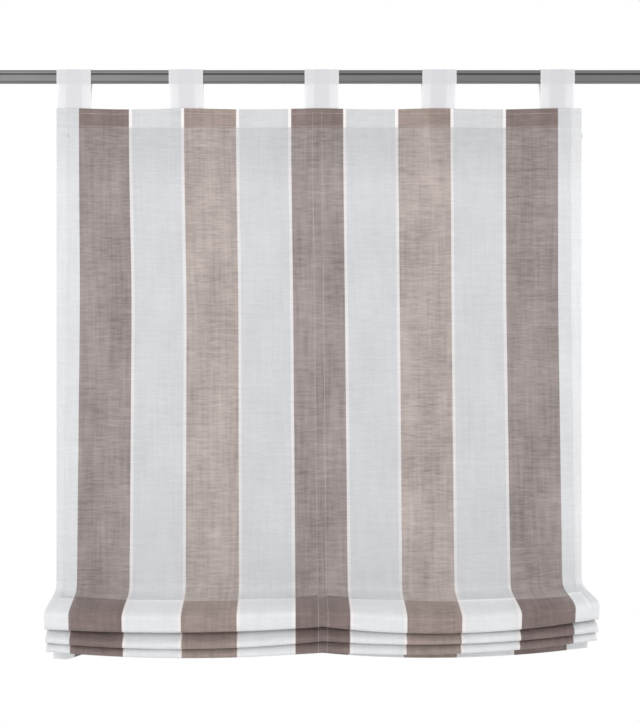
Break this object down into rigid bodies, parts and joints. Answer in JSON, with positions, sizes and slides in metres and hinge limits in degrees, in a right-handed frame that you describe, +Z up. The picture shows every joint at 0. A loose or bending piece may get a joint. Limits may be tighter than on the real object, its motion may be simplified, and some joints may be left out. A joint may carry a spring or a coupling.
{
  "type": "roman blind",
  "caption": "Sheer tab-top roman blind with woven vertical stripes, partly raised into soft folds, hanging on a grooved aluminium rod, with ring tapes, lift cords and a weighted hem.",
  "frame": {"origin": "middle of the curtain rod's axis, halfway along its length", "axes": "+X along the rod to the viewer's right, +Y towards the window behind the blind, +Z up; the blind's face looks along -Y"},
  "size_m": [1.295, 0.113, 1.1105],
  "materials": {
    "striped_voile": "sheer woven voile with satin-edged vertical stripes",
    "tab_voile": "sheer white voile, doubled",
    "rod_aluminium": "satin anodised",
    "cap_plastic": "fine matte",
    "weight": "metal shot in a woven white sleeve",
    "tape": "narrow woven tape",
    "cord": "braided",
    "ring_plastic": "moulded",
    "stop_plastic": "moulded",
    "spring_steel": "drawn wire"
  },
  "bodies": {
    "root": {"curtain_rod": "rod_aluminium", "rod_cap_left": "cap_plastic", "rod_cap_right": "cap_plastic", "tab_1": "tab_voile", "tab_2": "tab_voile", "tab_3": "tab_voile", "tab_4": "tab_voile", "tab_5": "tab_voile", "blind_cloth": "striped_voile", "guide_rings": "ring_plastic", "ring_tape_left": "tape", "lift_cord_left": "cord", "cord_stop_body_left": "stop_plastic", "cord_stop_spring_left": "spring_steel", "ring_tape_centre": "tape", "lift_cord_centre": "cord", "cord_stop_body_centre": "stop_plastic", "cord_stop_spring_centre": "spring_steel", "ring_tape_right": "tape", "lift_cord_right": "cord", "cord_stop_body_right": "stop_plastic", "cord_stop_spring_right": "spring_steel"},
    "fold_stack": {"weight_cord": "weight", "cord_knots": "cord", "ring_row_1": "ring_plastic", "ring_row_2": "ring_plastic", "ring_row_3": "ring_plastic", "ring_row_4": "ring_plastic"},
    "ring_row_5_body": {"ring_row_5": "ring_plastic"},
    "ring_row_6_body": {"ring_row_6": "ring_plastic"},
    "ring_row_7_body": {"ring_row_7": "ring_plastic"},
    "stop_button_left": {"cord_stop_button_left": "stop_plastic"},
    "stop_button_centre": {"cord_stop_button_centre": "stop_plastic"},
    "stop_button_right": {"cord_stop_button_right": "stop_plastic"}
  },
  "joints": [
    {"name": "lift", "type": "slide", "parent": "root", "child": "fold_stack", "axis": [0, 0, 1], "range_m": [0, 0.55], "deforming": ["blind_cloth", "ring_tape_left", "ring_tape_centre", "ring_tape_right", "lift_cord_left", "lift_cord_centre", "lift_cord_right"]},
    {"name": "ring_row_5_rise", "type": "slide", "parent": "root", "child": "ring_row_5_body", "axis": [0, 0, 1], "range_m": [0, 0.4485]},
    {"name": "ring_row_6_rise", "type": "slide", "parent": "root", "child": "ring_row_6_body", "axis": [0, 0, 1], "range_m": [0, 0.2285]},
    {"name": "ring_row_7_rise", "type": "slide", "parent": "root", "child": "ring_row_7_body", "axis": [0, 0, 1], "range_m": [0, 0.0389]},
    {"name": "cord_stop_press_left", "type": "slide", "parent": "root", "child": "stop_button_left", "axis": [-1, 0, 0], "range_m": [0, 0.002], "stiffness_N_per_m": 400, "springref_m": -0.002, "deforming": ["cord_stop_spring_left"]},
    {"name": "cord_stop_press_centre", "type": "slide", "parent": "root", "child": "stop_button_centre", "axis": [-1, 0, 0], "range_m": [0, 0.002], "stiffness_N_per_m": 400, "springref_m": -0.002, "deforming": ["cord_stop_spring_centre"]},
    {"name": "cord_stop_press_right", "type": "slide", "parent": "root", "child": "stop_button_right", "axis": [-1, 0, 0], "range_m": [0, 0.002], "stiffness_N_per_m": 400, "springref_m": -0.002, "deforming": ["cord_stop_spring_right"]}
  ],
  "couplings": [
    {"joint": "ring_row_5_rise", "follows": "lift", "ratio": 0.8136},
    {"joint": "ring_row_6_rise", "follows": "lift", "ratio": 0.4137},
    {"joint": "ring_row_7_rise", "follows": "lift", "ratio": 0.0689}
  ]
}
